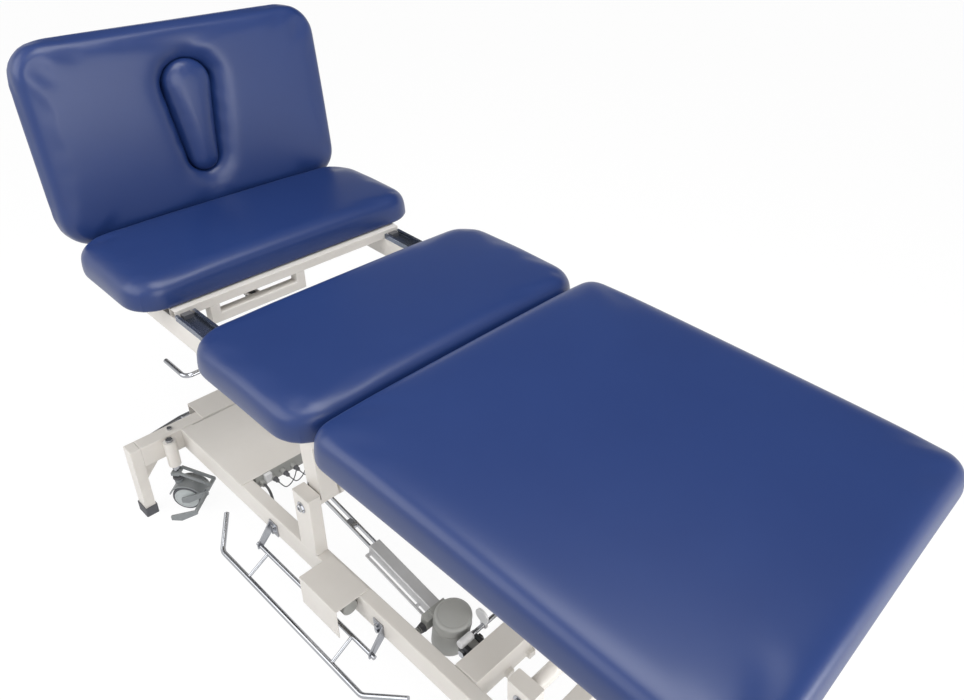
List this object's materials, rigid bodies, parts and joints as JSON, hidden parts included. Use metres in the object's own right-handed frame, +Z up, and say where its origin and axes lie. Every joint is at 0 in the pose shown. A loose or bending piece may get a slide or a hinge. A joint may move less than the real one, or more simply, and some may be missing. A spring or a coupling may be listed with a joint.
{
  "type": "traction table",
  "caption": "Treatment table with a raised back section, fixed lumbar pad, rolling pad on slides and leg pad, carried by a motor driven parallel arm lift on a steel base with casters.",
  "frame": {"origin": "floor level, middle of the bounding box in plan", "axes": "+X toward the foot end along the table, -X the head end with the raised back section, -Y the near side with the lock lever, +Z up"},
  "size_m": [1.8, 0.694, 1.1892],
  "materials": {
    "cream_paint": "satin powder coat",
    "dark_paint": "satin",
    "vinyl": "smooth upholstery vinyl with a broad sheen",
    "chrome": "bright plated",
    "zinc_steel": "zinc plated",
    "grey_plastic": "fine moulded grain",
    "caster_grey": "smooth moulded",
    "aluminium": "brushed extrusion",
    "rubber": "matt",
    "white_plastic": "smooth moulded",
    "wood": "plain board"
  },
  "bodies": {
    "base": {"base_rails": "cream_paint", "base_beams": "cream_paint", "drive_beam": "cream_paint", "legs": "cream_paint", "rubber_boots": "rubber", "lift_posts": "cream_paint", "floor_plate": "cream_paint", "control_box": "grey_plastic", "switch_covers": "cream_paint", "foot_switches": "grey_plastic", "bar_brackets": "zinc_steel", "caster_housings": "cream_paint", "base_bolts": "chrome", "drive_clevis": "dark_paint", "nylon_caps": "white_plastic", "motor_lead": "rubber"},
    "foot_bar_left": {"foot_bar_left": "chrome"},
    "foot_bar_right": {"foot_bar_right": "chrome"},
    "foot_bar_head": {"foot_bar_head": "chrome"},
    "lift_head": {"lift_arms_head": "cream_paint", "lift_crank": "cream_paint"},
    "lift_foot": {"lift_arms_foot": "cream_paint"},
    "drive": {"drive_motor": "grey_plastic", "drive_tube": "aluminium"},
    "drive_rod": {"drive_rod": "chrome"},
    "top_frame": {"frame_rails": "cream_paint", "pivot_beams": "cream_paint", "frame_pins": "zinc_steel", "pad_supports": "cream_paint", "spring_hanger": "cream_paint", "pad_lumbar": "vinyl", "pad_leg": "vinyl", "frame_boards": "wood", "slide_channels": "dark_paint", "slide_bumpers": "rubber"},
    "slide_cages": {"slide_cages": "zinc_steel"},
    "rolling": {"slide_runners": "zinc_steel", "carriage_bars": "zinc_steel", "pad_rolling": "vinyl", "board_rolling": "wood"},
    "lock_lever": {"lock_lever": "chrome"},
    "back": {"pad_back": "vinyl", "board_back": "wood", "back_frame": "dark_paint"},
    "face_plug": {"face_plug": "vinyl"},
    "gas_cylinder": {"gas_cylinder": "dark_paint"},
    "gas_rod": {"gas_rod": "chrome"},
    "caster_head_left": {"caster_hood_head_left": "caster_grey"},
    "wheel_head_left": {"caster_wheel_head_left": "caster_grey"},
    "pedal_head_left": {"brake_pedal_head_left": "caster_grey"},
    "caster_head_right": {"caster_hood_head_right": "caster_grey"},
    "wheel_head_right": {"caster_wheel_head_right": "caster_grey"},
    "pedal_head_right": {"brake_pedal_head_right": "caster_grey"},
    "caster_foot_left": {"caster_hood_foot_left": "caster_grey"},
    "wheel_foot_left": {"caster_wheel_foot_left": "caster_grey"},
    "pedal_foot_left": {"brake_pedal_foot_left": "caster_grey"},
    "caster_foot_right": {"caster_hood_foot_right": "caster_grey"},
    "wheel_foot_right": {"caster_wheel_foot_right": "caster_grey"},
    "pedal_foot_right": {"brake_pedal_foot_right": "caster_grey"}
  },
  "joints": [
    {"name": "lift", "type": "hinge", "parent": "base", "child": "lift_head", "pos_m": [-0.188, 0, 0.338], "axis": [0, 1, 0], "range_deg": [-83, 0]},
    {"name": "lift_foot_arms", "type": "hinge", "parent": "base", "child": "lift_foot", "pos_m": [0.455, 0, 0.338], "axis": [0, 1, 0], "range_deg": [-83, 0]},
    {"name": "frame_level", "type": "hinge", "parent": "lift_head", "child": "top_frame", "pos_m": [-0.21018, 0, 0.65522], "axis": [0, 1, 0], "range_deg": [0, 83]},
    {"name": "drive_tilt", "type": "hinge", "parent": "base", "child": "drive", "pos_m": [0.222, -0.115, 0.167], "axis": [0, 1, 0], "range_deg": [0, 2.36], "deforming": ["motor_lead"]},
    {"name": "drive_stroke", "type": "slide", "parent": "drive", "child": "drive_rod", "axis": [-0.9874, 0, 0.1582], "range_m": [-0.1716, 0]},
    {"name": "back_tilt", "type": "hinge", "parent": "top_frame", "child": "back", "pos_m": [-0.791, 0, 0.77202], "axis": [0, 1, 0], "range_deg": [-84, 0]},
    {"name": "gas_tilt", "type": "hinge", "parent": "top_frame", "child": "gas_cylinder", "pos_m": [-0.488, -0.095, 0.68053], "axis": [0, 1, 0], "range_deg": [-3.78, 0]},
    {"name": "gas_stroke", "type": "slide", "parent": "gas_cylinder", "child": "gas_rod", "axis": [-0.9964, 0, 0.0849], "range_m": [-0.1324, 0]},
    {"name": "face_plug_lift", "type": "slide", "parent": "back", "child": "face_plug", "axis": [0.9945, 0, 0.1045], "range_m": [0, 0.08]},
    {"name": "roll", "type": "slide", "parent": "top_frame", "child": "rolling", "axis": [-1, 0, 0], "range_m": [0, 0.178]},
    {"name": "cage_roll", "type": "slide", "parent": "top_frame", "child": "slide_cages", "axis": [-1, 0, 0], "range_m": [0, 0.089]},
    {"name": "lock_lever", "type": "hinge", "parent": "top_frame", "child": "lock_lever", "pos_m": [-0.378, -0.277, 0.62902], "axis": [0, 1, 0], "range_deg": [0, 40]},
    {"name": "foot_bar_left", "type": "hinge", "parent": "base", "child": "foot_bar_left", "pos_m": [-0.14, -0.249, 0.13], "axis": [1, 0, 0], "range_deg": [-10, 10], "stiffness_Nm_per_rad": 25, "springref_deg": -0.68},
    {"name": "foot_bar_right", "type": "hinge", "parent": "base", "child": "foot_bar_right", "pos_m": [-0.14, 0.249, 0.13], "axis": [1, 0, 0], "range_deg": [-10, 10], "stiffness_Nm_per_rad": 25, "springref_deg": 0.68},
    {"name": "foot_bar_head", "type": "hinge", "parent": "base", "child": "foot_bar_head", "pos_m": [-0.85, 0, 0.15], "axis": [0, 1, 0], "range_deg": [-10, 10], "stiffness_Nm_per_rad": 25, "springref_deg": 0.44},
    {"name": "swivel_head_left", "type": "hinge", "parent": "base", "child": "caster_head_left", "pos_m": [-0.734, -0.256, 0.1], "axis": [0, 0, 1], "range_deg": [-60, 160]},
    {"name": "spin_head_left", "type": "hinge", "parent": "caster_head_left", "child": "wheel_head_left", "pos_m": [-0.71791, -0.2425, 0.0405], "axis": [-0.6428, 0.766, 0], "continuous": true},
    {"name": "brake_head_left", "type": "hinge", "parent": "caster_head_left", "child": "pedal_head_left", "pos_m": [-0.71791, -0.2425, 0.0405], "axis": [-0.6428, 0.766, 0], "range_deg": [0, 12]},
    {"name": "swivel_head_right", "type": "hinge", "parent": "base", "child": "caster_head_right", "pos_m": [-0.734, 0.256, 0.1], "axis": [0, 0, 1], "range_deg": [-100, 120]},
    {"name": "spin_head_right", "type": "hinge", "parent": "caster_head_right", "child": "wheel_head_right", "pos_m": [-0.71791, 0.2425, 0.0405], "axis": [0.6428, 0.766, 0], "continuous": true},
    {"name": "brake_head_right", "type": "hinge", "parent": "caster_head_right", "child": "pedal_head_right", "pos_m": [-0.71791, 0.2425, 0.0405], "axis": [0.6428, 0.766, 0], "range_deg": [0, 12]},
    {"name": "swivel_foot_left", "type": "hinge", "parent": "base", "child": "caster_foot_left", "pos_m": [0.429, -0.256, 0.1], "axis": [0, 0, 1], "range_deg": [-100, 120]},
    {"name": "spin_foot_left", "type": "hinge", "parent": "caster_foot_left", "child": "wheel_foot_left", "pos_m": [0.41291, -0.2425, 0.0405], "axis": [-0.6428, -0.766, 0], "continuous": true},
    {"name": "brake_foot_left", "type": "hinge", "parent": "caster_foot_left", "child": "pedal_foot_left", "pos_m": [0.41291, -0.2425, 0.0405], "axis": [-0.6428, -0.766, 0], "range_deg": [0, 12]},
    {"name": "swivel_foot_right", "type": "hinge", "parent": "base", "child": "caster_foot_right", "pos_m": [0.429, 0.256, 0.1], "axis": [0, 0, 1], "range_deg": [-60, 160]},
    {"name": "spin_foot_right", "type": "hinge", "parent": "caster_foot_right", "child": "wheel_foot_right", "pos_m": [0.41291, 0.2425, 0.0405], "axis": [0.6428, -0.766, 0], "continuous": true},
    {"name": "brake_foot_right", "type": "hinge", "parent": "caster_foot_right", "child": "pedal_foot_right", "pos_m": [0.41291, 0.2425, 0.0405], "axis": [0.6428, -0.766, 0], "range_deg": [0, 12]}
  ],
  "couplings": [
    {"joint": "lift_foot_arms", "follows": "lift", "ratio": 1},
    {"joint": "frame_level", "follows": "lift", "ratio": -1},
    {"joint": "drive_tilt", "follows": "lift", "ratio": -0.028215},
    {"joint": "drive_stroke", "follows": "lift", "m_per_rad": 0.11835},
    {"joint": "gas_tilt", "follows": "back_tilt", "ratio": 0.044789},
    {"joint": "gas_stroke", "follows": "back_tilt", "m_per_rad": 0.090202},
    {"joint": "cage_roll", "follows": "roll", "ratio": 0.5}
  ]
}
